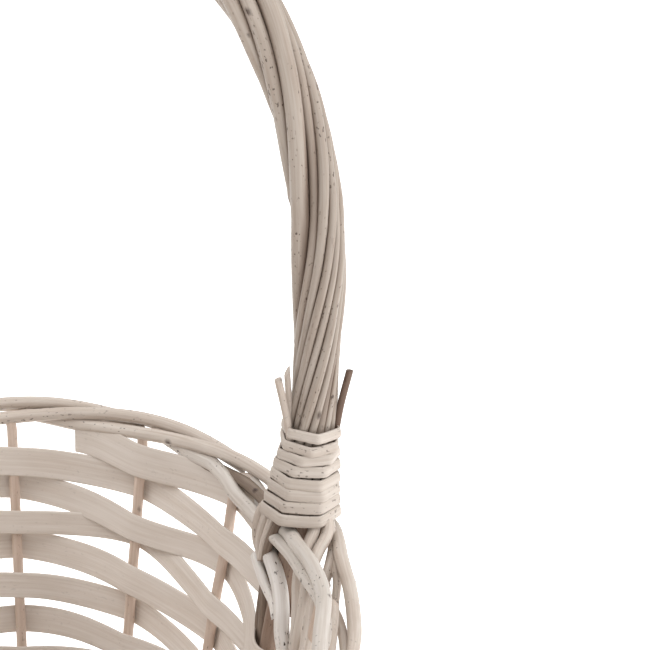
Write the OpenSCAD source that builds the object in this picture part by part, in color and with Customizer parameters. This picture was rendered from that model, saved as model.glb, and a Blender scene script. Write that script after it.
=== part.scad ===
// Oval wicker basket with one fixed hoop handle across its short side.
// Flat split strips are woven round turned-up stakes, whose tips lie along the rim as a roped border.
// Millimetres, +Z up. The origin is the middle of the foot hoop's underside.
// The handle stands over the Y axis.

/* [Basket body] */
// Length of the rim along X, over the border
rim_length = 374; // [330:1:420]
// Width of the rim along Y, over the border
rim_width = 268; // [230:1:300]
// Height of the rim above the ground
body_height = 158; // [120:1:190]
// Squareness of the oval plan: 2 is an ellipse
oval_power = 2.26; // [2:0.02:2.6]
// Slope of the long sides from vertical, in degrees
flare = 13.9; // [8:0.1:18]

/* [Weave] */
// Number of stakes; even, so that each closed row meets itself
stake_count = 14; // [12:2:20]
// Diameter of a stake
stake_dia = 4.6; // [3.5:0.1:6]
// Width of a split strip
strip_width = 12.6; // [8:0.1:14]
// Thickness of a split strip
strip_thick = 1.3; // [1:0.1:2]
// Distance from one row of strips to the next
strip_pitch = 14.2; // [14.1:0.1:16]
// Number of closed rows
row_count = 7; // [5:1:7]
// How far the rows dip at the handle and rise at the ends
row_dip = 8; // [0:0.5:10]

/* [Border] */
// Diameter of a rod in the border
border_dia = 6.5; // [4:0.1:7]
// How many stakes each border rod passes
border_reach = 3.95; // [2.5:0.05:3.95]

/* [Handle] */
// Half the handle's width, where it is widest
hoop_half = 136.5; // [125:0.1:145]
// Height of that widest place above the rim
hoop_spring = 120; // [60:1:140]
// Rise of the arch above its widest place
hoop_rise = 187; // [160:1:230]
// Squareness of the arch: 2 is an ellipse
hoop_power = 2; // [2:0.02:2.8]
// Diameter of the bow inside the handle
bow_dia = 12.5; // [8:0.5:13]
// Number of rods roped round the bow
wrap_count = 12; // [8:1:12]
// Diameter of a roped rod
wrap_dia = 4.4; // [3:0.1:5]
// Length along the bow in which a roped rod turns once
wrap_turn = 335; // [250:5:500]

/* [Lashings] */
// Turns of skein round each handle foot
lash_turns = 8; // [5:1:10]
// Height of a lashing
lash_height = 48.5; // [30:0.5:60]
// Width of the skein
skein_width = 5; // [3:0.1:6]
// Length of the trimmed rod ends that stick out above a lashing
trim_length = 28; // [15:1:30]

/* [Base] */
// Height of the half-round foot hoop
foot_height = 5; // [4:0.5:8]
// Diameter of the base rods
base_dia = 5; // [4:0.5:6]
// Number of rod rows woven in the base
base_rows = 8; // [5:1:8]

/* [Hidden] */
wall_x = rim_length / 2 - 9;
wall_y = rim_width / 2 - 9;
slope = tan(flare) / wall_y;
base_z = foot_height + base_dia * 1.4;
top_row = 16.5;
last_row_z = base_z + 27;
slack = 1.4;
border_out = 3;
border_z = body_height - 2.2;
rope_radius = border_dia * 0.67;
hoop_steps = 28;
leg_power = 1.35;
leg_depth = 110;
handle_clear = bow_dia / 2 + wrap_dia + 3.1;
lash_base = body_height + 3;
lash_top_radius = bow_dia / 2 + wrap_dia + strip_thick / 2;
foot_width = 8;
centre_z = body_height + hoop_spring;
outline_steps = 240;

function numbered(name, count) = [for (i = [1 : count]) str(name, i < 10 ? "0" : "", i)];
stake_names = numbered("stake_", stake_count);
row_names = numbered("strip_row_", row_count);
wrap_names = numbered("handle_rod_", wrap_count);
base_names = numbered("base_row_", base_rows);
wale_names = numbered("wale_rod_", 3);
foot_names = ["front", "back"];

// ---- small functions ----
function mix(a, b, t) = a + (b - a) * t;
function bell(distance, width) = exp(-pow(distance / width, 2));
function power(value, p) = sign(value) * pow(abs(value), p);
function unit(v) = v / norm(v);
function frame_up(tangent, up) = unit(up - tangent * (up * tangent));

// ---- the oval plan, measured by the fraction of its length from +Y toward -X ----
function oval(angle) =
  [wall_x * power(cos(angle), 2 / oval_power), wall_y * power(sin(angle), 2 / oval_power)];
function oval_step(k) = norm(oval(90 + 360 * (k + 1) / outline_steps) - oval(90 + 360 * k / outline_steps));
oval_table = [for (k = 0, s = 0; k <= outline_steps; s = s + oval_step(k), k = k + 1)
  [s, 90 + 360 * k / outline_steps]];
oval_length = oval_table[outline_steps][0];
function turn(f) = f - floor(f);
function oval_at(f) = oval(lookup(turn(f) * oval_length, oval_table));
function outward(f) = let (p = oval_at(f))
  unit([power(p.x / wall_x, oval_power - 1) / wall_x, power(p.y / wall_y, oval_power - 1) / wall_y, 0]);
function wall_scale(z) = 1 - (body_height - z) * slope;
function wall(f, z, out) = let (p = oval_at(f) * wall_scale(z)) [p.x, p.y, z] + outward(f) * out;
function foot_distance(f) = min(turn(2 * f), 1 - turn(2 * f)) * oval_length / 2;

// ---- solids swept along a path ----
module skin(loops, closed = false) {
  n = len(loops);
  m = len(loops[0]);
  sides = [for (i = [0 : n - (closed ? 1 : 2)], j = [0 : m - 1])
    [i * m + j, (i + 1) % n * m + j, (i + 1) % n * m + (j + 1) % m, i * m + (j + 1) % m]];
  caps = closed ? [] : [[for (j = [0 : m - 1]) j], [for (j = [m - 1 : -1 : 0]) (n - 1) * m + j]];
  polyhedron([for (ring = loops) for (p = ring) p], concat(sides, caps), convexity = 10);
}
function tangent(path, i, closed) = let (n = len(path))
  closed ? unit(path[(i + 1) % n] - path[(i + n - 1) % n])
         : unit(path[min(i + 1, n - 1)] - path[max(i - 1, 0)]);
function ups(path, closed) = let (first = abs(tangent(path, 0, closed).z) > 0.9 ? [1, 0, 0] : [0, 0, 1])
  [for (i = 0, u = frame_up(tangent(path, 0, closed), first); i < len(path);
        i = i + 1, u = i < len(path) ? frame_up(tangent(path, i, closed), closed ? [0, 0, 1] : u) : u) u];
module rod(path, dia, sides = 6, closed = false, tip = 1) {
  up = ups(path, closed);
  last = len(path) - 1;
  skin([for (i = [0 : last])
    let (t = tangent(path, i, closed), side = cross(t, up[i]), r = mix(dia, dia * tip, i / last) / 2)
    [for (j = [0 : sides - 1])
      path[i] + r * (cos(360 * j / sides) * up[i] + sin(360 * j / sides) * side)]], closed);
}
module straight_rod(a, b, dia) {
  d = b - a;
  translate(a) rotate([0, acos(d.z / norm(d)), atan2(d.y, d.x)]) cylinder(h = norm(d), d = dia, $fn = 24);
}

// ---- handle ----
function hoop(u) =
  [0, hoop_half * power(cos(u), 2 / hoop_power), centre_z + hoop_rise * power(sin(u), 2 / hoop_power)];
function leg_y(z) = z < body_height ? wall_y * wall_scale(z)
  : hoop_half - (hoop_half - wall_y) * pow((centre_z - z) / hoop_spring, leg_power);
function leg(z) = [0, leg_y(z), z];
function mirrored(path) = [for (i = [len(path) - 1 : -1 : 0]) [path[i].x, -path[i].y, path[i].z]];
function whole_hoop(low, leg_steps) = let (
    rise = [for (i = [0 : leg_steps]) leg(mix(low, centre_z, i / leg_steps))],
    arch = [for (i = [1 : hoop_steps - 1]) hoop(180 * i / hoop_steps)])
  concat(rise, arch, mirrored(rise));
function run_length(path) = [for (i = 0, s = 0; i < len(path);
  i = i + 1, s = s + (i < len(path) ? norm(path[i] - path[i - 1]) : 0)) s];
module handle_bow() {
  color("rosybrown") rod(whole_hoop(body_height - leg_depth, 8), bow_dia, 8);
}
module handle_rod(i) {
  path = whole_hoop(body_height + 2, 6);
  along = run_length(path);
  middle = along[len(along) - 1] / 2;
  radius = (bow_dia + wrap_dia) / 2;
  color("antiquewhite") rod([for (k = [0 : len(path) - 1])
    let (t = tangent(path, k, false), inner = cross(t, [1, 0, 0]),
         a = 360 * (i / wrap_count - (along[k] - middle) / wrap_turn))
    path[k] + radius * (cos(a) * inner + sin(a) * [1, 0, 0])], wrap_dia, 6);
}
module at_foot(back) rotate(back ? 180 : 0) children();
module lashing(back) {
  steps = 12;
  count = lash_turns * steps;
  thick = strip_thick / 2;
  half = skein_width / 2;
  color("wheat") at_foot(back) skin([for (k = [0 : count])
    let (a = 360 * k / steps - 90, h = k / count, z = lash_base + half + h * (lash_height - skein_width),
         rx = mix(handle_clear + 0.7, lash_top_radius, sqrt(h)),
         ry = mix(handle_clear + 3.6, lash_top_radius, sqrt(h)),
         centre = leg(z) + [rx * sin(a), ry * cos(a), 0],
         out = [sin(a), cos(a), 0] * thick, up = [0, 0, half])
    [centre + out + up, centre - out + up, centre - out - up, centre + out - up]]);
}
module trimmed_ends(back) {
  foot = leg(lash_base + lash_height - 6);
  color("peru") at_foot(back) for (side = [-1, 1])
    straight_rod(foot + [3, side * (lash_top_radius - 1.5), 0],
                 foot + [3, side * (lash_top_radius + 5), trim_length], wrap_dia - 0.8);
}

// ---- stakes, which turn down into the border ----
function border_point(f, passed) = let (
    a = lookup(passed, [[0, 270], [0.5, 245], [1.5, 160], [2.5, 78], [3, 45], [4, -20]]),
    radius = rope_radius * mix(0.15, 1, min(1, passed / 0.5)),
    near = bell(foot_distance(f), 22),
    out = mix(border_out + radius * cos(a), sign(cos(a)) * handle_clear, near))
  wall(f, border_z + radius * sin(a), out);
module stake(i) {
  f = i / stake_count + (i % (stake_count / 2) == 0 ? (bow_dia + stake_dia) / 2 / oval_length : 0);
  foot = [[-38, 0], [-22, 0], [-9, 1], [-2.5, 5], [0, 12]];
  upright = [for (h = [0.3, 0.6, 0.88]) wall(f, mix(base_z, body_height, h), 0)];
  run_steps = 13;
  color("rosybrown") rod(concat([for (p = foot) wall(f, base_z + p.y, p.x)], upright,
    [for (k = [0 : run_steps]) let (passed = mix(0.08, border_reach, k / run_steps))
      border_point(f - passed / stake_count, passed)]), stake_dia, 6, false, border_dia / stake_dia);
}

// ---- strips woven round the stakes ----
function leg_radius(z) = z < body_height - leg_depth ? 0 : bow_dia / 2;
function weave_out(f, z, row) = let (
    near = bell(foot_distance(f), 18), hump = max(leg_radius(z) - stake_dia / 2, 0))
  -cos(180 * (stake_count * f + row)) * (stake_dia / 2 + strip_thick / 2 + slack + near * hump);
function row_z(f, row) = let (fade = row == 0 ? 0 : min(1, (row_count + 2 - row) / 5))
  max(last_row_z, body_height - top_row - strip_pitch * row - row_dip * fade * cos(720 * f));
function strip_loop(f, row) = let (
    z = row_z(f, row), centre = wall(f, z, weave_out(f, z, row)), n = outward(f),
    along = (n * sin(flare) + [0, 0, cos(flare)]) * strip_width / 2,
    across = (n * cos(flare) - [0, 0, sin(flare)]) * strip_thick / 2)
  [centre + along + across, centre - along + across, centre - along - across, centre + along - across];
module strip_row(row) {
  steps = stake_count * 3;
  color("bisque") skin([for (k = [0 : steps - 1]) strip_loop(k / steps, row)], true);
}
module packing_strip(back) {
  color("bisque") at_foot(back)
    skin([for (k = [0 : 9]) strip_loop(mix(0.22, 2.54, k / 9) / stake_count, 0)]);
}

// ---- bottom of the basket ----
module wale_rod(i) {
  steps = stake_count * 3;
  z = base_z + 7 + i * base_dia;
  color("antiquewhite") rod([for (k = [0 : steps - 1]) let (f = k / steps)
    wall(f, z, -cos(180 * (stake_count * f + i)) * (stake_dia + base_dia) / 2)], base_dia, 6, true);
}
module base_row(i) {
  steps = stake_count * 2;
  color("bisque") rod([for (k = [0 : steps - 1]) let (f = k / steps)
    wall(f, base_z + base_dia * 0.9 * cos(180 * (stake_count * f + i)), -9 - i * (base_dia + 2))],
    base_dia, 6, true);
}
module base_spokes() {
  color("rosybrown") for (i = [0 : stake_count - 1]) let (p = wall(i / stake_count, base_z, -40))
    straight_rod([p.x * 0.62, p.y * 0.42, base_z], p, base_dia);
}
module base_slath() {
  reach_x = wall_x * wall_scale(base_z) - 54;
  reach_y = wall_y * wall_scale(base_z) - 56;
  half_count = floor(reach_y / base_dia);
  color("rosybrown") for (i = [-half_count : half_count])
    let (y = i * base_dia, x = reach_x * sqrt(1 - pow(y / (reach_y + base_dia), 2)),
         z = base_z - base_dia * 0.8)
    straight_rod([-x, y, z], [x, y, z], base_dia - 0.1);
}
module foot_outline(out) {
  polygon([for (k = [0 : 95]) let (p = wall(k / 96, 0, out)) [p.x, p.y]]);
}
module foot_hoop() {
  color("tan") linear_extrude(foot_height) difference() {
    foot_outline(foot_width / 2 - 4);
    foot_outline(-foot_width / 2 - 4);
  }
}

foot_hoop();
base_slath();
base_spokes();
handle_bow();
for (i = [0, 1]) {
  packing_strip(i == 0);
  lashing(i == 0);
  trimmed_ends(i == 0);
}
for (i = [0 : stake_count - 1]) stake(i);
for (i = [0 : row_count - 1]) strip_row(i + 1);
for (i = [0 : wrap_count - 1]) handle_rod(i);
for (i = [0 : base_rows - 1]) base_row(i);
for (i = [0 : 2]) wale_rod(i);
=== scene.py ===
import math

import bpy
import numpy as np
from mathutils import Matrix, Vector


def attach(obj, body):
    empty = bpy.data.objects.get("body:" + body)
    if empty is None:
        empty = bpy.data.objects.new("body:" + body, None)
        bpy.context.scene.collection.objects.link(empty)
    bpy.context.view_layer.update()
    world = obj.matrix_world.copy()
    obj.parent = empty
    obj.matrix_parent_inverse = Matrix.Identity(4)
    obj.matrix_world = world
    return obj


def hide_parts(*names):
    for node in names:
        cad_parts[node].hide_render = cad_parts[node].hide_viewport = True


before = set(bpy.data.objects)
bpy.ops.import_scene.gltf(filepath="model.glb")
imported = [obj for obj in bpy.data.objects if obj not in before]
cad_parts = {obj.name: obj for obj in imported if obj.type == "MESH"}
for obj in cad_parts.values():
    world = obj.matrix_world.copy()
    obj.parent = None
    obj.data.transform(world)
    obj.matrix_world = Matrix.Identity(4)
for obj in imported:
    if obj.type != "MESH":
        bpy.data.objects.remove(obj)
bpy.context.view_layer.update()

# ---------------------------------------------------------------- sizes, in metres
MM = 0.001
RIM_LENGTH, RIM_WIDTH, BODY_HEIGHT = 374 * MM, 268 * MM, 158 * MM
OVAL_POWER = 2.26
FLARE = math.radians(13.9)
STAKES = 14
STAKE_DIA = 5.0 * MM
STRIP_WIDTH, STRIP_THICK, STRIP_PITCH = 12.6 * MM, 1.3 * MM, 14.2 * MM
ROWS, ROW_DIP, TOP_ROW = 7, 8 * MM, 16.5 * MM
BORDER_DIA, BORDER_REACH = 6.5 * MM, 3.95
HOOP_HALF, HOOP_SPRING, HOOP_RISE, HOOP_POWER = 136.5 * MM, 120 * MM, 187 * MM, 2.0
LEG_POWER, LEG_DEPTH = 1.35, 110 * MM
BOW_DIA = 12.5 * MM
WRAP_COUNT, WRAP_TURN = 12, 335 * MM
LASH_TURNS, LASH_HEIGHT, SKEIN_WIDTH = 8.0, 48.5 * MM, 5.3 * MM
FOOT_HEIGHT, BASE_DIA, BASE_ROWS = 5 * MM, 5 * MM, 8
WALL_X, WALL_Y = RIM_LENGTH / 2 - 9 * MM, RIM_WIDTH / 2 - 9 * MM
SLOPE = math.tan(FLARE) / WALL_Y
BASE_Z = FOOT_HEIGHT + BASE_DIA * 1.4
LAST_ROW_Z = BASE_Z + 27 * MM
SLACK = 0.6 * MM
BORDER_OUT, BORDER_Z = 3 * MM, BODY_HEIGHT - 2.2 * MM
HANDLE_CLEAR = 13.75 * MM
ROPE_RADIUS = BORDER_DIA * 0.63
CENTRE_Z = BODY_HEIGHT + HOOP_SPRING
LASH_BASE = BODY_HEIGHT + 3 * MM


# ---------------------------------------------------------------- small functions
def power(value, p):
    return np.sign(value) * np.abs(value) ** p


def unit(v):
    return v / np.maximum(np.linalg.norm(v, axis=-1, keepdims=True), 1e-12)


def mix(a, b, t):
    return a + (b - a) * t


def bell(distance, width):
    return np.exp(-((distance / width) ** 2))


def smooth(low, high, value):
    t = np.clip((value - low) / (high - low), 0, 1)
    return t * t * (3 - 2 * t)


def lengths(path):
    """Distance run along a path, at each of its points."""
    return np.concatenate([[0], np.cumsum(np.linalg.norm(np.diff(path, axis=0), axis=1))])


def wander(rng, run, wave, size):
    """A smooth random curve along a run, with that wavelength and size."""
    total = np.zeros_like(run)
    for _ in range(4):
        waves = run * rng.uniform(0.6, 1.7) / wave
        total = total + np.sin(2 * math.pi * waves + rng.uniform(0, 2 * math.pi))
    return total * size / 2


def spline(points, step=1.5 * MM):
    """A smooth curve through a few points, with its own points a step apart."""
    p = np.array(points, float)
    p = np.vstack([2 * p[0] - p[1], p, 2 * p[-1] - p[-2]])
    knots = np.concatenate([[0], np.cumsum(np.linalg.norm(np.diff(p, axis=0), axis=1) ** 0.5)])
    out = []
    for i in range(1, len(p) - 2):
        t0, t1, t2, t3 = knots[i - 1:i + 3]
        count = max(4, int(np.linalg.norm(p[i + 1] - p[i]) / step * 2))
        t = np.linspace(t1, t2, count, endpoint=False)[:, None]
        a1 = (t1 - t) / (t1 - t0) * p[i - 1] + (t - t0) / (t1 - t0) * p[i]
        a2 = (t2 - t) / (t2 - t1) * p[i] + (t - t1) / (t2 - t1) * p[i + 1]
        a3 = (t3 - t) / (t3 - t2) * p[i + 1] + (t - t2) / (t3 - t2) * p[i + 2]
        b1 = (t2 - t) / (t2 - t0) * a1 + (t - t0) / (t2 - t0) * a2
        b2 = (t3 - t) / (t3 - t1) * a2 + (t - t1) / (t3 - t1) * a3
        out.append((t2 - t) / (t2 - t1) * b1 + (t - t1) / (t2 - t1) * b2)
    return even(np.vstack(out + [p[-2][None]]), step)


def even(path, step=1.5 * MM):
    run = lengths(path)
    at = np.linspace(0, run[-1], max(3, int(run[-1] / step) + 1))
    return np.stack([np.interp(at, run, path[:, k]) for k in range(3)], axis=1)


# ---------------------------------------------------------------- the oval plan
ANGLES = np.radians(90 + 360 * np.arange(2881) / 2880)


def oval(angle):
    c, s = np.cos(angle), np.sin(angle)
    return np.stack([WALL_X * power(c, 2 / OVAL_POWER), WALL_Y * power(s, 2 / OVAL_POWER)], axis=-1)


OVAL_RUN = np.concatenate([[0], np.cumsum(np.linalg.norm(np.diff(oval(ANGLES), axis=0), axis=1))])
OVAL_LENGTH = OVAL_RUN[-1]


def oval_at(f):
    return oval(np.interp(np.mod(f, 1) * OVAL_LENGTH, OVAL_RUN, ANGLES))


def outward(f):
    p = oval_at(f)
    n = np.stack([power(p[..., 0] / WALL_X, OVAL_POWER - 1) / WALL_X,
                  power(p[..., 1] / WALL_Y, OVAL_POWER - 1) / WALL_Y,
                  np.zeros_like(p[..., 0])], axis=-1)
    return unit(n)


def wall(f, z, out):
    """A point on the wall: fraction f round the oval from +Y toward -X, height z, and out from its middle."""
    f, z, out = np.broadcast_arrays(np.asarray(f, float), z, out)
    p = oval_at(f) * (1 - (BODY_HEIGHT - z) * SLOPE)[..., None]
    return np.concatenate([p, z[..., None]], axis=-1) + outward(f) * out[..., None]


def foot_distance(f):
    t = np.mod(2 * np.asarray(f, float), 1)
    return np.minimum(t, 1 - t) * OVAL_LENGTH / 2


# ---------------------------------------------------------------- canes: anything swept along a path
def frames(path, face=None, closed=False):
    """Tangent, face direction and side direction at each point of a path."""
    if closed:
        t = unit(np.roll(path, -1, axis=0) - np.roll(path, 1, axis=0))
    else:
        t = unit(np.gradient(path, axis=0))
    if face is not None:
        u = unit(face - t * np.sum(face * t, axis=1, keepdims=True))
        return t, u, np.cross(t, u)
    u = np.zeros_like(path)
    first = np.array([1.0, 0, 0]) if abs(t[0][2]) > 0.9 else np.array([0, 0, 1.0])
    for i in range(len(path)):
        first = first - t[i] * np.dot(first, t[i])
        first = first / np.linalg.norm(first)
        u[i] = first
    return t, u, np.cross(t, u)


def cane(path, wide, seed, thick=None, face=None, sides=14, square=2.0, crown=0.0, closed=False,
         cuts=(0.0, 0.0), bare_and_shade=0.0, away=None, knots=0.0):
    """One strand: its points, faces and the coordinates that its grain follows.

    wide and thick are its size across, away is the side that shows, and cuts are the slants of both ends. The
    side turned from away gets thinner paint and painted shade, and so does the whole strand by a given share."""
    rng = np.random.RandomState(seed)
    n, m = len(path), sides
    run = lengths(path)
    wide = np.broadcast_to(wide, n).astype(float)
    thick = wide if thick is None else np.broadcast_to(thick, n).astype(float)
    t, u, v = frames(path, face, closed)
    turn = 2 * math.pi * np.arange(m) / m
    cu, cv = power(np.cos(turn), 2 / square), power(np.sin(turn), 2 / square)
    du = thick[:, None] / 2 * cu + crown * (1 - cv ** 2)
    dv = wide[:, None] / 2 * cv
    knot = np.zeros((n, m))
    if knots:
        at = rng.uniform(0.3, 1) / knots
        while at < run[-1]:
            spot, size = rng.uniform(0, 2 * math.pi), rng.uniform(0.8, 1.7) * MM
            across = np.abs(np.mod(turn - spot + math.pi, 2 * math.pi) - math.pi)[None, :] * wide[:, None] / 2
            knot = np.maximum(knot, bell(run[:, None] - at, 1.6 * size) * bell(across, size))
            at += rng.uniform(0.5, 1.6) / knots
        swell = 1 + knot * 0.34 * MM / (wide[:, None] / 2)
        du, dv = du * swell, dv * swell
    slide = np.zeros((n, m))
    if not closed:
        for cut, near in ((cuts[0], run), (cuts[1], run[-1] - run)):
            fade = np.clip(1 - near / (abs(cut) * wide[0] + 4 * MM), 0, 1)[:, None]
            slide = slide + cut * dv * fade
    points = path[:, None] + du[..., None] * u[:, None] + dv[..., None] * v[:, None]
    points = points + slide[..., None] * t[:, None]
    lay = np.stack([np.broadcast_to(run[:, None], (n, m)) + slide, du, dv], axis=-1) + rng.uniform(0, 40, 3)
    # a mask of thinner paint and painted shade: the given share all over, and more on the side turned from
    # away, where rods press together and lie in each other's shade
    shade = np.full((n, m), 1.0) * np.broadcast_to(bare_and_shade, n)[:, None]
    if away is not None:
        side = unit(cu[None, :, None] * u[:, None] + cv[None, :, None] * v[:, None])
        shade = np.maximum(shade, smooth(-0.45, 0.12, -np.sum(side * away[:, None], axis=-1)))
    points, lay = points.reshape(-1, 3), lay.reshape(-1, 3)
    i, j = np.meshgrid(np.arange(n if closed else n - 1), np.arange(m), indexing="ij")
    k, l = (i + 1) % n, (j + 1) % m
    quads = np.stack([i * m + j, k * m + j, k * m + l, i * m + l], axis=-1).reshape(-1, 4)
    caps = [] if closed else [list(range(m)), list(range(n * m - 1, (n - 1) * m - 1, -1))]
    a, b, c = points[quads[:, 0]], points[quads[:, 1]], points[quads[:, 2]]
    if np.sum(np.cross(b, c) * a) < 0:
        quads = quads[:, ::-1]
        caps = [cap[::-1] for cap in caps]
    return {"points": points, "quads": quads, "caps": caps, "lay": lay, "bare_and_shade": shade.ravel(),
            "knot": knot.ravel(), "tone": np.full(n * m, rng.uniform(0, 1))}


def piece(name, canes, material, nodes=()):
    """One object made of canes. It rides on the body and stands for its CAD nodes."""
    points, faces, flat, start = [], [], [], 0
    for c in canes:
        points.append(c["points"])
        faces += (c["quads"] + start).tolist()
        flat += [False] * len(c["quads"])
        faces += [[v + start for v in cap] for cap in c["caps"]]
        flat += [True] * len(c["caps"])
        start += len(c["points"])
    mesh = bpy.data.meshes.new(name)
    mesh.from_pydata(np.vstack(points).tolist(), [], faces)
    mesh.polygons.foreach_set("use_smooth", [not f for f in flat])
    for key, kind in (("lay", "FLOAT_VECTOR"), ("bare_and_shade", "FLOAT"), ("knot", "FLOAT"), ("tone", "FLOAT")):
        data = np.concatenate([c[key] for c in canes]).astype(np.float32)
        mesh.attributes.new(key, kind, "POINT").data.foreach_set(
            "vector" if kind == "FLOAT_VECTOR" else "value", data.ravel())
    mesh.materials.append(material)
    obj = bpy.data.objects.new(name, mesh)
    bpy.context.scene.collection.objects.link(obj)
    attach(obj, "root")
    if nodes:
        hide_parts(*nodes)


# ---------------------------------------------------------------- materials
def node(tree, kind, **settings):
    made = tree.nodes.new(kind)
    for key, value in settings.items():
        if key in made.inputs.keys():
            made.inputs[key].default_value = value
        else:
            setattr(made, key, value)
    return made


def link(tree, out, to):
    tree.links.new(out, to)


def stretched(tree, vector, scale):
    mapping = node(tree, "ShaderNodeMapping")
    mapping.inputs["Scale"].default_value = scale
    link(tree, vector, mapping.inputs["Vector"])
    return mapping.outputs["Vector"]


def noise(tree, vector, scale, detail=3.0, roughness=0.55):
    made = node(tree, "ShaderNodeTexNoise", Scale=1.0, Detail=detail, Roughness=roughness)
    link(tree, stretched(tree, vector, scale), made.inputs["Vector"])
    return made.outputs["Fac"]


def span(tree, value, low, high, to_low=0.0, to_high=1.0):
    made = tree.nodes.new("ShaderNodeMapRange")
    for k, number in (("From Min", low), ("From Max", high), ("To Min", to_low), ("To Max", to_high)):
        made.inputs[k].default_value = number
    link(tree, value, made.inputs["Value"])
    return made.outputs["Result"]


def maths(tree, operation, a, b):
    made = tree.nodes.new("ShaderNodeMath")
    made.operation = operation
    for k, value in enumerate((a, b)):
        if isinstance(value, (int, float)):
            made.inputs[k].default_value = value
        else:
            link(tree, value, made.inputs[k])
    return made.outputs[0]


def blended(tree, factor, a, b):
    made = tree.nodes.new("ShaderNodeMix")
    made.data_type = "RGBA"
    if isinstance(factor, (int, float)):
        made.inputs[0].default_value = factor
    else:
        link(tree, factor, made.inputs[0])
    for k, value in ((6, a), (7, b)):
        if isinstance(value, tuple):
            made.inputs[k].default_value = (*value, 1)
        else:
            link(tree, value, made.inputs[k])
    return made.outputs[2]


def wood(name, wash, under, dark, cover=0.85, patchy=0.5, specks=0.5, rough=0.55, bump=0.35, gloss=0.4,
         vary=0.26):
    """Willow: under is the unpainted wood, wash the thin white paint over it, and dark its specks and knots.

    Every pattern lies along the strand: 'lay' holds the distance along it and the place across it."""
    made = bpy.data.materials.new(name)
    made.use_nodes = True
    tree = made.node_tree
    shader = tree.nodes["Principled BSDF"]
    lay = node(tree, "ShaderNodeAttribute", attribute_name="lay").outputs["Vector"]
    bare_and_shade = node(tree, "ShaderNodeAttribute", attribute_name="bare_and_shade").outputs["Fac"]
    knot = node(tree, "ShaderNodeAttribute", attribute_name="knot").outputs["Fac"]
    tone = node(tree, "ShaderNodeAttribute", attribute_name="tone").outputs["Fac"]
    streak = noise(tree, lay, (22, 900, 900), 4)
    fibre = noise(tree, lay, (90, 5200, 5200), 3)
    patch = noise(tree, lay, (34, 170, 170), 3)
    fleck = noise(tree, lay, (480, 900, 900), 1, 0.3)
    scatter = noise(tree, lay, (30, 120, 120), 2)
    # where the paint has taken, and how thin it is
    worn = maths(tree, "ADD", maths(tree, "MULTIPLY", span(tree, streak, 0.3, 0.7), 0.55),
                 maths(tree, "MULTIPLY", span(tree, patch, 0.3, 0.72), 0.45))
    thin = span(tree, worn, 0.30, 0.95, cover, cover - patchy)
    # the mask of thin paint and shade thins the paint and darkens the wood under it towards half its colour:
    # partly less paint where it is hidden, partly painted shade
    thin = maths(tree, "MULTIPLY", thin, span(tree, bare_and_shade, 0.0, 1.0, 1.0, 0.16))
    grain = blended(tree, span(tree, fibre, 0.32, 0.68), tuple(0.82 * c for c in under), under)
    grain = blended(tree, span(tree, bare_and_shade, 0.2, 1.0, 0.0, 0.75), grain, tuple(0.5 * c for c in under))
    thick_wash = tuple(c * k for c, k in zip(wash, (0.9, 0.885, 0.865)))
    paint = blended(tree, span(tree, streak, 0.28, 0.74), wash, thick_wash)
    colour = blended(tree, thin, grain, paint)
    darker = tuple(0.8 * c for c in mixed(wash, under, 0.35))
    colour = blended(tree, span(tree, tone, 0, 1, 0.0, vary), colour, darker)
    # specks where the bark held, and the scars of buds
    spot = span(tree, fleck, 0.665, 0.72)
    spot = maths(tree, "MULTIPLY", spot, span(tree, scatter, 0.47, 0.6, 0.0, specks))
    colour = blended(tree, spot, colour, dark)
    scar = maths(tree, "MULTIPLY", span(tree, knot, 0.25, 0.8), span(tree, streak, 0.35, 0.6, 0.45, 1.0))
    colour = blended(tree, scar, colour, dark)
    link(tree, colour, shader.inputs["Base Color"])
    link(tree, span(tree, worn, 0.2, 0.9, rough - 0.07, rough + 0.12), shader.inputs["Roughness"])
    shader.inputs["Specular IOR Level"].default_value = gloss
    height = maths(tree, "ADD", maths(tree, "MULTIPLY", fibre, 0.35), maths(tree, "MULTIPLY", streak, 0.65))
    height = maths(tree, "SUBTRACT", height, maths(tree, "MULTIPLY", spot, 0.5))
    relief = node(tree, "ShaderNodeBump", Strength=bump, Distance=0.35 * MM)
    link(tree, height, relief.inputs["Height"])
    link(tree, relief.outputs["Normal"], shader.inputs["Normal"])
    return made


def mixed(a, b, t):
    return tuple(x + (y - x) * t for x, y in zip(a, b))


DARK = (0.05, 0.028, 0.02)
rod_wood = wood("whitewashed_rod", (0.43, 0.373, 0.322), (0.22, 0.14, 0.095), DARK, cover=0.95, patchy=0.45,
                specks=0.8, rough=0.46, gloss=0.4, vary=0.38)
border_wood = wood("border_rod", (0.63, 0.565, 0.505), (0.38, 0.26, 0.19), DARK, cover=0.95, patchy=0.45,
                   specks=0.8, rough=0.52, gloss=0.3)
# lighter copies of the border willow: painted light on the rods that come out in the light by the handle's
# feet, the brightest for the inner ends
painted_light_wood = wood("painted_light_rod", (0.68, 0.63, 0.58), (0.3, 0.21, 0.15), DARK, cover=0.97, patchy=0.35,
                 specks=1.0, rough=0.42, gloss=0.5)
painted_strong_light_wood = wood("painted_strong_light_rod", (0.8, 0.765, 0.73), (0.4, 0.28, 0.2), DARK, cover=0.97, patchy=0.3,
                  specks=1.0, rough=0.42, gloss=0.5)
strip_wood = wood("split_strip", (0.73, 0.668, 0.612), (0.6, 0.5, 0.42), DARK, cover=0.88, patchy=0.5,
                  specks=0.12, rough=0.62, bump=0.16, gloss=0.3)
stake_wood = wood("peeled_stake", (0.66, 0.54, 0.455), (0.48, 0.34, 0.26), DARK, cover=0.8, patchy=0.6,
                  specks=0.5, rough=0.6)
skein_wood = wood("skein", (0.61, 0.55, 0.495), (0.4, 0.3, 0.23), DARK, cover=0.92, patchy=0.4,
                  specks=0.55, rough=0.55, bump=0.3)
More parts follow.
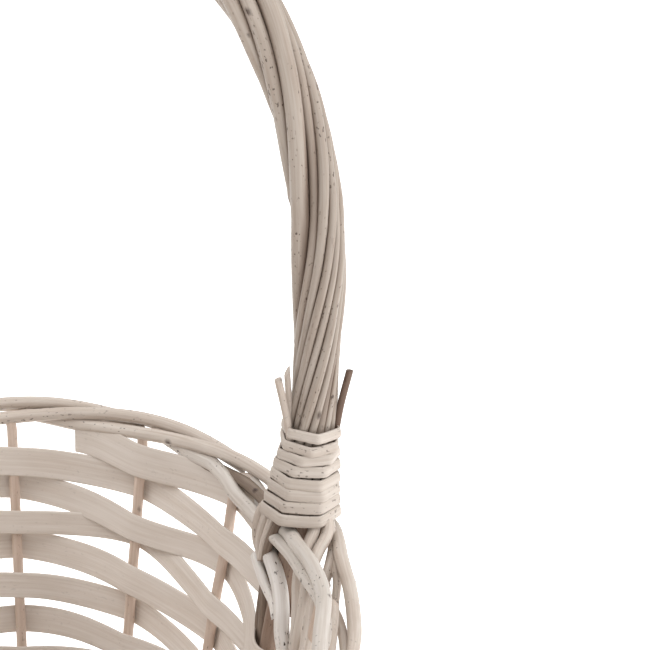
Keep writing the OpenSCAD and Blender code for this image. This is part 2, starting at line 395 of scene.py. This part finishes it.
# a dark brown copy of the willow: painted shade for the rods deep in the hollows under the handle's feet
painted_shade_wood = wood("painted_shade_rod", (0.3, 0.235, 0.185), (0.12, 0.075, 0.05), DARK, cover=0.8, patchy=0.7,
                  rough=0.6)
bow_wood = wood("bow_wood", (0.42, 0.325, 0.26), (0.24, 0.15, 0.105), DARK, cover=0.6, patchy=0.5, rough=0.65)
twig_wood = wood("cut_end", (0.36, 0.26, 0.2), (0.12, 0.07, 0.05), DARK, cover=0.35, patchy=0.3, rough=0.75,
                 bump=0.7)
base_wood = wood("base_stick", (0.60, 0.5, 0.42), (0.42, 0.29, 0.21), DARK, cover=0.8, patchy=0.6, rough=0.62)
hoop_wood = wood("foot_wood", (0.63, 0.53, 0.44), (0.45, 0.32, 0.23), DARK, cover=0.8, patchy=0.5, rough=0.6)


# ---------------------------------------------------------------- handle
def hoop(u):
    return np.stack([np.zeros_like(u), HOOP_HALF * power(np.cos(u), 2 / HOOP_POWER),
                     CENTRE_Z + HOOP_RISE * power(np.sin(u), 2 / HOOP_POWER)], axis=-1)


def leg_y(z):
    z = np.asarray(z, float)
    below = WALL_Y * (1 - (BODY_HEIGHT - z) * SLOPE)
    above = HOOP_HALF - (HOOP_HALF - WALL_Y) * np.clip((CENTRE_Z - z) / HOOP_SPRING, 0, 1) ** LEG_POWER
    return np.where(z < BODY_HEIGHT, below, above)


def whole_hoop(low):
    z = np.linspace(low, CENTRE_Z, 80)
    rise = np.stack([np.zeros_like(z), leg_y(z), z], axis=-1)
    arch = hoop(np.pi * np.arange(1, 400) / 400)
    fall = rise[::-1] * np.array([1, -1, 1])
    return even(np.vstack([rise, arch, fall]), 1.4 * MM)


def smoothed(path, times):
    for _ in range(times):
        path[1:-1] = (path[:-2] + 2 * path[1:-1] + path[2:]) / 4
    return path


bow_path = smoothed(whole_hoop(BODY_HEIGHT - LEG_DEPTH), 40)
bow_run = lengths(bow_path)
bow_edge = np.minimum(bow_run, bow_run[-1] - bow_run)
bow_dia = BOW_DIA * mix(0.35, 1, smooth(0, 95 * MM, bow_edge))
# the bow gets 0.3 of the thin-paint-and-shade mask all over: thinner paint, and painted shade for the bow
# lying inside the rods
piece("handle_bow_core", [cane(bow_path, bow_dia, 11, sides=18, bare_and_shade=0.3)], bow_wood,
      ["handle_bow"])

# the shares of the circle that the rods take where the handle begins to lean, in degrees
ROD_SHARES = np.array([37, 39, 45, 29, 30, 26, 25, 27, 25, 26, 26, 25.0])
ROD_START = 198.6
ROD_TAPER = np.array([-0.25, 0.3, 0.35, -0.4, 0.3, -0.3, 0.35, -0.25, 0.3, -0.35, 0.25, -0.3])

# rods that lie deeper than the rest: how far from the foot, over what length and how deep, in mm
RECESSED = {3: (152, 42, 1.4), 9: (62, 26, 1.7)}


def handle_rods():
    path = smoothed(whole_hoop(BODY_HEIGHT + 6 * MM), 40)
    run = lengths(path)
    reference = 205 * MM
    t, _, _ = frames(path)
    inner = np.cross(t, np.array([1.0, 0, 0]))
    rng = np.random.RandomState(5)
    shares = []
    for k in range(WRAP_COUNT):
        taper = 1 + ROD_TAPER[k] * (run - reference) / run[-1]
        shares.append(ROD_SHARES[k] * taper * (1 + wander(rng, run, 170 * MM, 0.06)))
    shares = np.array(shares)
    shares = shares * 360 / shares.sum(axis=0)
    edges = np.cumsum(shares, axis=0)
    middles = edges - shares / 2
    # the rods turn round the bow as they climb
    twist = 360 * (run - reference) / WRAP_TURN
    edge = np.minimum(run, run[-1] - run)
    core = mix(6.1, 7.2, smooth(150 * MM, 300 * MM, edge)) * MM
    spread = 1 - smooth(0, 42 * MM, edge)
    for k in range(WRAP_COUNT):
        half = np.radians(shares[k] / 2)
        radius = core * np.sin(half) / (1 - np.sin(half))
        angle = np.radians(ROD_START - middles[k] - twist)
        loose = wander(rng, run, 90 * MM, 0.25 * MM) + wander(rng, run, 260 * MM, 0.35 * MM)
        place, width, depth = RECESSED.get(k, (0, 1, 0))
        sunk = bell(edge - place * MM, width * MM)
        reach = core + radius + np.abs(loose) - depth * MM * sunk
        away = np.cos(angle)[:, None] * inner + np.sin(angle)[:, None] * np.array([1.0, 0, 0])
        line = path + reach[:, None] * away * (1 + spread[:, None] * np.array([0.16, 0.42, 0]))
        # a recessed rod's sunk stretch gets the thin-paint-and-shade mask by its depth: painted shade of the
        # recess, with thinner paint
        piece(f"handle_rod_{k + 1:02d}_willow",
              [cane(line, 2 * radius * 1.02, 100 + k, sides=16, away=away, knots=9, cuts=(0.5, 0.5),
                    bare_and_shade=min(1, depth / 2) * sunk)],
              rod_wood, [f"handle_rod_{k + 1:02d}"])


handle_rods()


# ---------------------------------------------------------------- stakes and the roped border
def border_point(f, passed):
    a = np.radians(np.interp(passed, [0, 0.5, 1, 1.5, 2, 2.5, 3, 4], [270, 238, 197, 147, 90, 42, 5, -40]))
    near = bell(foot_distance(f), 22 * MM)
    radius = ROPE_RADIUS * mix(0.15, 1, smooth(0, 0.5, passed))
    out = mix(BORDER_OUT + radius * np.cos(a), np.sign(np.cos(a)) * HANDLE_CLEAR, near)
    lift = 4 * MM * bell(foot_distance(f), 60 * MM) * smooth(2.4, 3.2, passed)
    return wall(f, BORDER_Z + radius * np.sin(a) + lift, out)


def rim_point(x, out, z, foot):
    """A point by a foot of the handle: x along the rim, out from the wall and z above the rim, in mm."""
    x, out, z = x * MM, out * MM, z * MM
    at = x
    for _ in range(6):
        y = WALL_Y * (1 - min(abs(at) / WALL_X, 0.999) ** OVAL_POWER) ** (1 / OVAL_POWER)
        n = np.array([np.sign(at) * (abs(at) / WALL_X) ** (OVAL_POWER - 1) / WALL_X,
                      (y / WALL_Y) ** (OVAL_POWER - 1) / WALL_Y, 0])
        n = n / np.linalg.norm(n)
        at += x - (at + n[0] * out)
    return np.array([foot * (at + n[0] * out), foot * (y + n[1] * out), BODY_HEIGHT + z])


# where the border rods go once they have passed a foot of the handle, by how many stakes back they began
PAST_FOOT = {
    1: [(-36, -6, -9.5), (-20, -10.5, -8.5), (-8, -11.5, -6), (0, -11.3, -4.5), (10, -11, -4),
        (25, -10.5, -3.5), (40, -10, -3), (56, -8.5, -2.5), (68, -7, -2.5), (79, -6, -2.5), (92, -5, -3),
        (113, -4, -3.5), (130, -2, -3), (148, 2, -2), (165, 5, -4)],
    2: [(-74, -4, -5.5), (-57, -7.5, -7.5), (-36, -10, -6.5), (-18, -10.5, -4.5), (-6, -8.5, -1.7),
        (5, -7, 0), (20, -7.5, 1), (36, -7, 2), (51, -6.5, 2.5), (65, -6, 2.5), (77, -5.5, 2), (90, -6, 1.5),
        (103, -6, 1), (120, -4, 0.5), (138, 1, 0), (155, 5, -3), (166, 6, -7)],
    3: [(-32, 9.5, -1.5), (-16, 13.5, -2), (0, 15.5, -2.5), (12, 14, -3.5), (25, 11.5, -4.5), (40, 9.5, -5),
        (54, 8.5, -5.5), (70, 7.5, -6), (85, 7, -6.5), (100, 7.2, -6.5), (115, 7.5, -7), (132, 8, -8),
        (146, 7, -10)]}
FOOT_DIA = {1: 5.8, 2: 6.8, 3: 6.2}
LEAVES_ROPE = {1: 0.72, 2: 1.3, 3: 0.62}


# how a stake turns up from the base: out from the wall's middle and up from the base, in mm
UPSETT = [(-38, 0), (-30, 0), (-22, 0), (-15, 0.2), (-9, 1), (-5, 2.6), (-2.5, 5), (-0.8, 8.5), (0, 12)]


def stake(i):
    """The path of stake i up the wall and along the border, its thickness and where it starts to turn."""
    rng = np.random.RandomState(300 + i)
    back = i % 7
    foot = 1 if i < 7 else -1
    f = i / STAKES + (8 * MM / OVAL_LENGTH if back == 0 else 0)
    low = [wall(f, BASE_Z + z * MM, out * MM) for out, z in UPSETT]
    lean = (-4.5 if back == 6 else 0) * MM
    upright = [wall(f, mix(BASE_Z, BORDER_Z - 3 * MM, h), lean * smooth(0.6, 1, h))
               for h in (0.3, 0.45, 0.6, 0.75, 0.9, 0.97, 1)]
    if back == 0:
        upright = upright + [wall(f, BODY_HEIGHT + 6 * MM, 0)]
        line = spline(low + upright)
        return line, np.full(len(line), STAKE_DIA), len(line) - 1
    reach = min(BORDER_REACH, back - LEAVES_ROPE.get(back, 0.05)) if back < 5 else BORDER_REACH
    passed = np.linspace(0.09, reach, 36)
    run = border_point(f - passed / STAKES, passed)
    run = list(run + outward(f - passed / STAKES) * (lean * (1 - smooth(0, 0.9, passed)))[:, None])
    if back in PAST_FOOT:
        run += [rim_point(*p, foot) for p in PAST_FOOT[back]]
    start = spline(low + upright + run[:1])
    line = spline(low + upright + run)
    along = lengths(line)
    turned = int(np.searchsorted(along, lengths(start)[-1])) - 3
    full = (FOOT_DIA[back] if back in FOOT_DIA else 6.2) * MM * rng.uniform(0.96, 1.04)
    ends = 130 if back >= 4 else 70
    tail = smooth(along[-1] - ends * MM, along[-1] - (ends - 70) * MM, along)
    swell = smooth(along[turned] - 1 * MM, along[turned] + 12 * MM, along)
    dia = mix(STAKE_DIA, full, swell) * (1 - 0.42 * tail)
    line = line + outward(np.full(len(line), f)) * (wander(rng, along, 70 * MM, 0.2 * MM))[:, None]
    return line, dia, turned


def stakes():
    for i in range(STAKES):
        line, dia, turned = stake(i)
        name = f"stake_{i + 1:02d}"
        end = min(turned + 6, len(line))
        upright = cane(line[:end], dia[:end], 320 + i, knots=4)
        piece(f"{name}_upright", [upright], stake_wood, [name])
        if turned < len(line) - 1:
            # the rods from one and two stakes back pass the handle's foot in the light and take the lighter
            # copy: painted light
            willow = painted_light_wood if i % 7 in (1, 2) else border_wood
            rod = cane(line[turned:], dia[turned:], 350 + i, sides=16, knots=7, cuts=(0, 1.5))
            piece(f"border_rod_{i + 1:02d}", [rod], willow)


stakes()

# ---------------------------------------------------------------- rod ends below the lashings
# each end's name, thickness and path, with x along the rim, out from the wall and z above the rim, in mm
LOWER_ENDS = [
    ("crossing_end_1", 5.6, [(8, 5.2, 7.8), (12, 3, 2.6), (17, -1.8, -3.2), (23, -6.6, -8.3),
                             (26.5, -8.8, -15.2), (31.3, -10.2, -21.1), (38.5, -12.4, -29.8),
                             (42, -14.5, -40)]),
    ("crossing_end_2", 5.6, [(6, 8, 12), (10.5, 9.4, 4.5), (15, 8, 1), (22, 1.9, -3.5), (30, -3.4, -7.5),
                             (37, -7.5, -12.5), (41.9, -9.9, -19.9), (44, -12.2, -29.2), (46, -14.5, -40)]),
    ("crossing_end_3", 5.2, [(2, 11, 9), (7, 12.2, 0), (13, 11.8, -5), (22, 8, -8), (34, 2.5, -10),
                             (46, -4, -12.5), (54, -9.3, -17.2), (57.5, -11.4, -25.8), (62.5, -13.8, -35)]),
    ("crossing_end_4", 6.0, [(44, -1, -9), (50, -4.5, -9.5), (55, -7.5, -12.5), (61.3, -9.5, -18.6),
                             (68, -12.5, -29), (73, -15, -42)]),
    ("outer_end_1", 4.7, [(40, -5, -10), (50, -4, -9.5), (61, -2, -9), (72, 0, -9), (84, 1.5, -9.5),
                          (95, 2.5, -9.5), (106, 3.5, -10), (122, 5, -10), (140, 5, -12)]),
    ("outer_end_2", 4.0, [(12, 12, -5), (23, 9, -8), (31, 7.5, -9), (40, 6, -10), (48, 4, -10.5),
                          (56, 2, -11), (65, 0.5, -12), (76, -2, -13)]),
    ("inner_end_1", 7.6, [(-12, -8, 4), (-11.5, -10, -6), (-11, -11.5, -13), (-3, -12.3, -15.5),
                          (6, -13, -18.5), (14, -13.8, -21.5), (20.5, -14.8, -25.5), (26, -16, -29.5),
                          (32, -17.5, -35.5), (37, -17.8, -40.5), (43, -19.5, -52), (47, -22, -66)]),
    ("inner_end_2", 5.0, [(-16, -15.3, -19), (-9, -16.2, -21.5), (-1, -17, -24), (8, -17.6, -26),
                          (17, -18, -27.5), (23, -18.5, -31)]),
    ("tucked_end_1", 4.8, [(-10, -13.2, 7.7), (-12, -15.4, 0), (-12, -16, -9), (-9.5, -15.2, -15)]),
    ("tucked_end_2", 4.8, [(-6, -12, 7.8), (-8, -14.3, -1), (-8.8, -15.7, -9.5), (-8, -15.4, -15.5)]),
    ("tucked_end_3", 4.8, [(-2, -10.4, 7.2), (-4, -12.6, -1), (-6, -14.4, -9), (-6.8, -15.3, -16)]),
    ("tucked_end_4", 4.6, [(2, -9, 6.8), (0, -11.2, -0.6), (-3, -13.2, -8), (-5.4, -14.4, -16)]),
    # liner_1 to liner_4 are dark rods set in the shaded hollows by the handle's foot; their dark colour is
    # painted shade
    ("liner_1", 6.5, [(-13, -3, 3), (-14.5, -6, -12), (-14, -10, -28), (-12.5, -14, -50), (-9, -16, -66)]),
    ("liner_2", 6.5, [(-6, -6, 2), (-8, -8, -12), (-8.5, -12, -28), (-7, -15, -60)]),
    ("liner_3", 6.0, [(-97, 0, -7), (-80, -0.5, -6), (-62, -1.5, -3.6), (-44, -3, -2.5), (-26, -5, -1),
                      (-12, -5, 2)]),
    ("liner_4", 6.5, [(3, 7.5, 8), (6, 7, -3), (12, 3.5, -10), (20, -2, -15)])]


def end_wood(name):
    # liner_1 to liner_4 and tucked_end_4 take the dark copy, which is painted shade; the inner ends take the
    # brightest copy, which is painted light
    if name.startswith("liner") or name == "tucked_end_4":
        return painted_shade_wood
    return painted_strong_light_wood if name.startswith("inner") else border_wood


for foot_name, foot in (("back", 1), ("front", -1)):
    for k, (name, dia, points) in enumerate(LOWER_ENDS):
        line = spline([rim_point(*p, foot) for p in points], 1.2 * MM)
        along = lengths(line)
        taper = 1 - (0.3 if name == "inner_end_2" else 0.12) * smooth(0, along[-1], along)
        rod = cane(line, dia * MM * taper, 800 + 20 * k + foot, sides=16, knots=10, cuts=(0.3, 0.9))
        piece(f"handle_{name}_{foot_name}", [rod], end_wood(name))


# ---------------------------------------------------------------- strips woven round the stakes
# how far a row sits above its place where it crosses a stake: {(row, stake): mm}
ROW_NUDGES = {(1, 3): 0.9, (1, 1): 3.6, (2, 3): 1.9, (2, 2): -2.4, (2, 1): 3.5, (3, 3): 1.4, (3, 2): 4.6,
              (3, 1): 1.6, (0, 2.54): 3.5, (0, 2.25): 1, (0, 2): -0.5, (0, 1): 2,
              (2, 0): -8, (2, 7): -8, (3, 0): -4, (3, 7): -4, (4, 3): 2.6, (4, 2): 1.9, (5, 3): 1.9}
# each row's width as a share of STRIP_WIDTH; row 0 is the packing strip
ROW_WIDTHS = (1.28, 1.12, 1.04, 0.92, 1.12, 1.0, 1.04, 1.0)


def weave_out(f, z, row):
    near = bell(foot_distance(f), 26 * MM)
    hump = np.maximum(np.where(z < BODY_HEIGHT - LEG_DEPTH, 0, BOW_DIA / 2) - STAKE_DIA / 2, 0)
    wave = np.cos(np.pi * (STAKES * f + row))
    wave = mix(np.arcsin(0.985 * wave) / math.asin(0.985), wave, near)
    return -wave * (STAKE_DIA / 2 + STRIP_THICK / 2 + SLACK + near * hump)


def row_z(f, row):
    fade = 0 if row == 0 else min(1, (ROWS + 2 - row) / 5)
    z = BODY_HEIGHT - TOP_ROW - STRIP_PITCH * row - ROW_DIP * fade * np.cos(4 * np.pi * f)
    if row == 0:
        z = z + 1.8 * MM
    for (r, i), lift in ROW_NUDGES.items():
        if r == row:
            z = z + lift * MM * bell(np.mod(f - i / STAKES + 0.5, 1) - 0.5, (0.6 if row else 0.35) / STAKES)
    return np.maximum(LAST_ROW_Z, z)


def strip(f, row, seed, lap=0.0):
    rng = np.random.RandomState(seed)
    run = f * OVAL_LENGTH
    z = row_z(f, row) + wander(rng, run, 120 * MM, 0.5 * MM)
    out = weave_out(f, z, row) + lap
    line = wall(f, z, out)
    n = outward(f)
    tilt = FLARE + wander(rng, run, 130 * MM, 0.07)
    face = n * np.cos(tilt)[:, None] - np.array([0, 0, 1.0]) * np.sin(tilt)[:, None]
    wide = STRIP_WIDTH * ROW_WIDTHS[row] * (1 + wander(rng, run, 200 * MM, 0.025))
    return cane(line, wide, seed, thick=STRIP_THICK * 1.1, face=face, sides=22, square=4.5, crown=0.25 * MM,
                cuts=(0.12, -0.1))


def strips():
    for row in range(1, ROWS + 1):
        # the ends of a row's strip lap behind a stake, and not at the same stake in every row
        start = 0.5 + (row * 3 % 5 - 1) / STAKES
        f = np.linspace(start - 0.42 / STAKES, start + 1 + 0.42 / STAKES, 640)
        lap = STRIP_THICK * 0.62 * (smooth(start + 1 - 0.8 / STAKES, start + 1 - 0.3 / STAKES, f)
                                    - smooth(-start - 0.3 / STAKES, -start + 0.8 / STAKES, -f))
        piece(f"strip_row_{row:02d}_split", [strip(f, row, 400 + row, lap)], strip_wood,
              [f"strip_row_{row:02d}"])
    for name, centre, seed in (("back", 0.0, 430), ("front", 0.5, 431)):
        f = centre + np.linspace(0.22, 2.545, 120) / STAKES
        piece(f"packing_strip_{name}_split", [strip(f, 0, seed)], strip_wood,
              [f"packing_strip_{name}"])


strips()


# ---------------------------------------------------------------- lashings and trimmed ends above them
def lashing(side, seed):
    rng = np.random.RandomState(seed)
    count = int(LASH_TURNS * 120)
    h = np.linspace(0, 1, count)
    a = 2 * np.pi * LASH_TURNS * h - np.pi / 2
    z = LASH_BASE + SKEIN_WIDTH / 2 + h * (LASH_HEIGHT - SKEIN_WIDTH)
    # each turn bends over the ridge of a rod, and the ridges wind round the handle
    ridge = np.interp(h, (np.arange(8) + 0.5) / 8, [34, 33, 35, -31, -24, -13, 3, 15])
    ridge = np.where((h > 0.375) & (h < 0.44), -31, np.where((h > 0.3) & (h <= 0.375), 35, ridge))
    sector = np.mod(a - np.radians(108.6 - ridge), np.pi / 3) - np.pi / 6
    poly = 1 / np.cos(sector) ** 0.9
    low = 1 - np.sqrt(h)
    rx = (mix(11.4, 14.4, low) * MM) * poly
    ry = (mix(11.4, 17.3, low) * MM) * poly
    z = z + 0.25 * MM * np.sin(3 * a) + wander(rng, h, 0.13, 0.55 * MM)
    line = np.stack([rx * np.sin(a), leg_y(z) - 1.2 * MM * low + ry * np.cos(a), z], axis=-1)
    line = line * np.array([side, side, 1])
    face = np.stack([np.sin(a), np.cos(a), 0 * a + 0.12], axis=-1) * np.array([side, side, 1])
    line, face = smoothed(line, 2), unit(face)
    wide = mix(1.06, 0.88, h) * SKEIN_WIDTH * (1 + wander(rng, h, 0.15, 0.03))
    return cane(line, wide, seed, thick=1.3 * MM, face=face, sides=18,
                square=3.2, crown=0.3 * MM, cuts=(0.6, 0.6))


for foot_name, side, seed in (("back", 1, 500), ("front", -1, 501)):
    piece(f"lashing_{foot_name}_skein", [lashing(side, seed)], skein_wood, [f"lashing_{foot_name}"])
    foot = np.array([3 * MM, leg_y(LASH_BASE + LASH_HEIGHT - 6 * MM), LASH_BASE + LASH_HEIGHT - 6 * MM])
    # each trimmed end's thickness, slant, and three points across, out and up from the foot, in mm
    trims = [("sprig", 3.4, 0.15, [(0, -10.4, -3), (0, -12.4, 10), (0, -16, 27)], border_wood),
             ("spur", 2.8, 1.6, [(-3, -8.6, -3), (-3, -9.8, 12), (-3, -10.9, 29)], border_wood),
             ("twig", 3.2, 0.15, [(0, 10.2, -3), (0, 12.8, 11), (0, 17, 27)], twig_wood)]
    for k, (name, dia, cut, points, material) in enumerate(trims):
        line = spline([(foot + np.array(p) * MM) * np.array([side, side, 1]) for p in points])
        # each trimmed end gets 0.3 of the thin-paint-and-shade mask all over, which thins its paint and
        # darkens it
        rod = cane(line, dia * MM, seed + 10 + k, cuts=(0, cut), bare_and_shade=0.3, sides=16)
        piece(f"trimmed_{name}_{foot_name}", [rod], material, [f"trimmed_ends_{foot_name}"])


# ---------------------------------------------------------------- bottom of the basket
RING_POINTS, RING_WANDER, WALE_SWAY = 700, 0.3 * MM, 4.8 * MM
HOOP_INSET, HOOP_THICK = 4 * MM, 8 * MM


def ring(f_count, z, out, seed, dia):
    rng = np.random.RandomState(seed)
    f = np.arange(f_count) / f_count
    path = wall(f, z(f), out(f))
    phase = 2 * np.pi * f
    path = path + outward(f) * (RING_WANDER * np.sin(5 * phase + rng.uniform(0, 6)))[:, None]
    return cane(path, dia, seed, sides=14, closed=True, knots=7)


for i in range(3):
    z = BASE_Z + 7 * MM + i * BASE_DIA
    rod = ring(RING_POINTS, lambda f: z + 0 * f, lambda f: -np.cos(np.pi * (STAKES * f + i)) * WALE_SWAY,
               600 + i, BASE_DIA)
    piece(f"wale_rod_{i + 1:02d}_willow", [rod], border_wood, [f"wale_rod_{i + 1:02d}"])
for i in range(BASE_ROWS):
    # the outer row lies along the foot hoop, and the others pass over and under the spokes
    level, sway, inset = BASE_Z, 0.9 * BASE_DIA, 9 * MM + i * (BASE_DIA + 2 * MM)
    if i == 0:
        level, sway, inset = FOOT_HEIGHT + 0.64 * BASE_DIA, 0.1 * BASE_DIA, 5.5 * MM
    rod = ring(RING_POINTS - 60 * i, lambda f: level + sway * np.cos(np.pi * (STAKES * f + i)),
               lambda f: -inset + 0 * f, 620 + i, BASE_DIA * 1.08)
    piece(f"base_row_{i + 1:02d}_willow", [rod], border_wood, [f"base_row_{i + 1:02d}"])

spokes = []
for i in range(STAKES):
    end = wall(i / STAKES, BASE_Z, -40 * MM)
    start = np.array([end[0] * 0.62, end[1] * 0.42, BASE_Z])
    spokes.append(cane(even(np.array([start, end])), BASE_DIA, 650 + i, knots=8, cuts=(0.4, 0.4)))
piece("base_spokes_sticks", spokes, base_wood, ["base_spokes"])

slath = []
reach_x = WALL_X * (1 - (BODY_HEIGHT - BASE_Z) * SLOPE) - 54 * MM
reach_y = WALL_Y * (1 - (BODY_HEIGHT - BASE_Z) * SLOPE) - 56 * MM
half_count = int(reach_y / BASE_DIA)
for i in range(-half_count, half_count + 1):
    y = i * BASE_DIA
    x = reach_x * math.sqrt(1 - (y / (reach_y + BASE_DIA)) ** 2)
    z = BASE_Z - BASE_DIA * 0.8
    stick = even(np.array([[-x, y, z], [x, y, z]]))
    slath.append(cane(stick, BASE_DIA * 0.98, 680 + i, knots=8, cuts=(0.3, 0.3)))
piece("base_slath_sticks", slath, base_wood, ["base_slath"])

f = np.arange(RING_POINTS) / RING_POINTS
hoop_path = wall(f, np.zeros(RING_POINTS), np.full(RING_POINTS, -HOOP_INSET))
hoop_path[:, 2] = FOOT_HEIGHT / 2
foot_ring = cane(hoop_path, FOOT_HEIGHT, 700, thick=HOOP_THICK, face=outward(f), sides=20, square=3.2,
                 closed=True)
piece("foot_hoop_ring", [foot_ring], hoop_wood, ["foot_hoop"])

# ---------------------------------------------------------------- floor, light and camera
floor_mesh = bpy.data.meshes.new("floor")
FLOOR = 12.0
floor_mesh.from_pydata([(-FLOOR, -FLOOR, 0), (FLOOR, -FLOOR, 0), (FLOOR, FLOOR, 0), (-FLOOR, FLOOR, 0)], [],
                       [(0, 1, 2, 3)])
floor_paint = bpy.data.materials.new("floor_paint")
floor_paint.use_nodes = True
paint = floor_paint.node_tree.nodes["Principled BSDF"]
paint.inputs["Base Color"].default_value = (0.9, 0.9, 0.9, 1)
paint.inputs["Roughness"].default_value = 0.9
paint.inputs["Specular IOR Level"].default_value = 0.0
paint.inputs["Emission Color"].default_value = (1, 1, 1, 1)
paint.inputs["Emission Strength"].default_value = 0.75
floor_mesh.materials.append(floor_paint)
floor = bpy.data.objects.new("floor", floor_mesh)
bpy.context.scene.collection.objects.link(floor)

world = bpy.data.worlds.new("studio")
bpy.context.scene.world = world
world.use_nodes = True
world.node_tree.nodes["Background"].inputs["Color"].default_value = (1.0, 0.99, 0.98, 1)
world.node_tree.nodes["Background"].inputs["Strength"].default_value = 0.43

# the point that the camera looks at
AIM = np.array([0.0414, 0.1231, 0.2685])
SENSOR_MM, IMAGE_WIDTH, FOCAL_PIXELS = 36, 650, 1300 / 0.42


def direction(azimuth, elevation):
    a, e = math.radians(azimuth), math.radians(elevation)
    return np.array([math.sin(a) * math.cos(e), -math.cos(a) * math.cos(e), math.sin(e)])


def softbox(name, azimuth, elevation, distance, size, energy):
    light = bpy.data.lights.new(name, "AREA")
    light.shape = "RECTANGLE"
    light.size, light.size_y = size
    light.energy = energy
    lamp = bpy.data.objects.new(name, light)
    bpy.context.scene.collection.objects.link(lamp)
    place = AIM + direction(azimuth, elevation) * distance
    lamp.location = place
    lamp.rotation_mode = "QUATERNION"
    lamp.rotation_quaternion = Vector(-direction(azimuth, elevation)).to_track_quat("-Z", "Y")
    lamp.visible_camera = False


softbox("window_right", 160, 32, 2.2, (1.8, 1.6), 27)
softbox("window_left", -20, 42, 2.2, (1.8, 1.6), 26)
softbox("back_panel", 251, 45, 2.4, (1.8, 1.6), 8)
softbox("top_panel", 71, 80, 1.9, (1.6, 1.6), 10)
softbox("front_fill", 100, 12, 2.4, (2.0, 1.6), 15)

VIEW_AZIMUTH, VIEW_ELEVATION, VIEW_DISTANCE = 71.4, 20.8, 1.3
camera_data = bpy.data.cameras.new("camera")
camera_data.sensor_width = SENSOR_MM
camera_data.lens = SENSOR_MM * FOCAL_PIXELS / IMAGE_WIDTH
camera_data.clip_start, camera_data.clip_end = 0.05, 60
camera = bpy.data.objects.new("camera", camera_data)
bpy.context.scene.collection.objects.link(camera)
camera.location = AIM + direction(VIEW_AZIMUTH, VIEW_ELEVATION) * VIEW_DISTANCE
camera.rotation_mode = "XYZ"
camera.rotation_euler = (math.radians(90 - VIEW_ELEVATION), 0, math.radians(VIEW_AZIMUTH))
bpy.context.scene.camera = camera
bpy.context.scene.view_settings.view_transform = "Standard"
